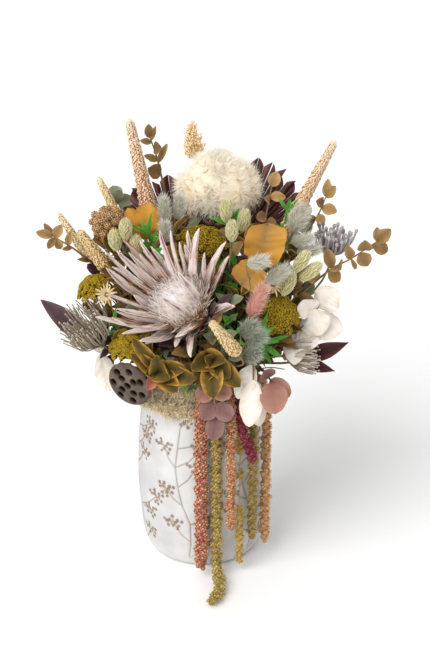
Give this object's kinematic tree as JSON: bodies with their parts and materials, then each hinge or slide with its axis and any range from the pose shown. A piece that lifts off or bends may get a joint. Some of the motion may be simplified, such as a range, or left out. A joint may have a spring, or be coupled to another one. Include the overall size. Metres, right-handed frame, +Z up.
{
  "type": "dried flower arrangement in ceramic vase",
  "caption": "Dried flower arrangement in a tall rounded ceramic vase, with a large protea, a fluffy thistle head, leafy twigs and strands that hang over the rim.",
  "frame": {"origin": "middle of the vase's flat base, on the surface that it stands on", "axes": "+Z up along the vase's axis, the front with the hanging strands faces -Y, +X to the right seen from the front"},
  "size_m": [0.4039, 0.3001, 0.5412],
  "materials": {
    "amaranth_beaded": "dry hanging strand of tiny knobbly flowers",
    "amaranth_burgundy": "dry hanging strand of tiny knobbly flowers",
    "amaranth_green": "dry hanging strand of tiny knobbly flowers",
    "amaranth_olive": "dry hanging strand of tiny knobbly flowers",
    "amaranth_orange": "dry hanging strand of tiny knobbly flowers",
    "amaranth_rose": "dry hanging strand of tiny knobbly flowers",
    "amaranth_tan": "dry hanging strand of tiny knobbly flowers",
    "bead_cluster": "dry golden-brown buttons",
    "brush_right": "grey-olive bristles",
    "cardoon": "fluffy cream bristles with a peach tint",
    "dark_leaf_left": "dry plum leaf",
    "dark_leaf_right": "dry maroon leaf",
    "eucalyptus_back_left": "grey-green to brown dry leaves",
    "eucalyptus_back_right": "grey-green to brown dry leaves",
    "eucalyptus_left": "dry tan-brown leaves",
    "eucalyptus_long": "dry tan-brown leaves",
    "eucalyptus_pink": "dry salmon-pink and mauve leaves",
    "eucalyptus_side": "dry tan-brown leaves",
    "eucalyptus_top": "dry tan-brown leaves",
    "eucalyptus_upper": "dry tan-brown leaves",
    "foam": "matt green floral foam",
    "gold_leaf": "dry golden-yellow leaf",
    "king_protea": "dry dusty-pink bracts round a grey-white dome",
    "lotus_pod": "dry dark-brown pod",
    "millet_far_left": "dry grains on a long spike",
    "millet_front": "dry grains on a long spike",
    "millet_near_left": "dry grains on a long spike",
    "millet_peach": "dry grains on a long spike",
    "millet_right": "dry grains on a long spike",
    "millet_yellow": "dry grains on a long spike",
    "moss_front": "dry beige reindeer moss",
    "ochre_leaves": "dry golden-ochre leaves",
    "olive_centre": "brown-olive leaves with lighter edges",
    "olive_left": "brown-olive leaves with lighter edges",
    "pale_leaves_front": "white translucent papery leaves",
    "pale_leaves_right": "white translucent papery leaves",
    "palm_back": "dark maroon pleated palm leaf",
    "palm_left": "dark maroon pleated palm leaf",
    "palm_right": "dark maroon pleated palm leaf",
    "phalaris_centre": "pale yellow-green grass heads",
    "phalaris_left": "pale yellow-green grass heads",
    "phalaris_right": "pale yellow-green grass heads",
    "pincushion_left": "grey-beige styles",
    "pincushion_right": "grey-violet styles with knobs",
    "pink_leaves": "dry dusty-pink leaves",
    "plume": "dry peach grass plume",
    "ruscus_centre": "bright green leaves",
    "ruscus_front": "bright green leaves",
    "ruscus_left": "bright green leaves",
    "ruscus_right": "bright green leaves",
    "tails_front": "soft sage-grey grass heads",
    "tails_left": "soft sage-grey grass heads",
    "tails_middle": "soft sage-grey grass heads",
    "tails_right": "soft sage-grey grass heads",
    "vase": "matt, chalky off-white glaze with pale violet-grey shading",
    "yarrow_centre": "mustard florets",
    "yarrow_left": "mustard florets",
    "yarrow_low": "mustard florets",
    "yarrow_right": "mustard florets"
  },
  "bodies": {
    "root": {"amaranth_beaded": "amaranth_beaded", "amaranth_burgundy": "amaranth_burgundy", "amaranth_green": "amaranth_green", "amaranth_olive": "amaranth_olive", "amaranth_orange": "amaranth_orange", "amaranth_rose": "amaranth_rose", "amaranth_tan": "amaranth_tan", "bead_cluster": "bead_cluster", "brush_right": "brush_right", "cardoon": "cardoon", "dark_leaf_left": "dark_leaf_left", "dark_leaf_right": "dark_leaf_right", "eucalyptus_back_left": "eucalyptus_back_left", "eucalyptus_back_right": "eucalyptus_back_right", "eucalyptus_left": "eucalyptus_left", "eucalyptus_long": "eucalyptus_long", "eucalyptus_pink": "eucalyptus_pink", "eucalyptus_side": "eucalyptus_side", "eucalyptus_top": "eucalyptus_top", "eucalyptus_upper": "eucalyptus_upper", "foam": "foam", "gold_leaf": "gold_leaf", "king_protea": "king_protea", "lotus_pod": "lotus_pod", "millet_far_left": "millet_far_left", "millet_front": "millet_front", "millet_near_left": "millet_near_left", "millet_peach": "millet_peach", "millet_right": "millet_right", "millet_yellow": "millet_yellow", "moss_front": "moss_front", "ochre_leaves": "ochre_leaves", "olive_centre": "olive_centre", "olive_left": "olive_left", "pale_leaves_front": "pale_leaves_front", "pale_leaves_right": "pale_leaves_right", "palm_back": "palm_back", "palm_left": "palm_left", "palm_right": "palm_right", "phalaris_centre": "phalaris_centre", "phalaris_left": "phalaris_left", "phalaris_right": "phalaris_right", "pincushion_left": "pincushion_left", "pincushion_right": "pincushion_right", "pink_leaves": "pink_leaves", "plume": "plume", "ruscus_centre": "ruscus_centre", "ruscus_front": "ruscus_front", "ruscus_left": "ruscus_left", "ruscus_right": "ruscus_right", "tails_front": "tails_front", "tails_left": "tails_left", "tails_middle": "tails_middle", "tails_right": "tails_right", "vase": "vase", "yarrow_centre": "yarrow_centre", "yarrow_left": "yarrow_left", "yarrow_low": "yarrow_low", "yarrow_right": "yarrow_right"}
  },
  "joints": []
}
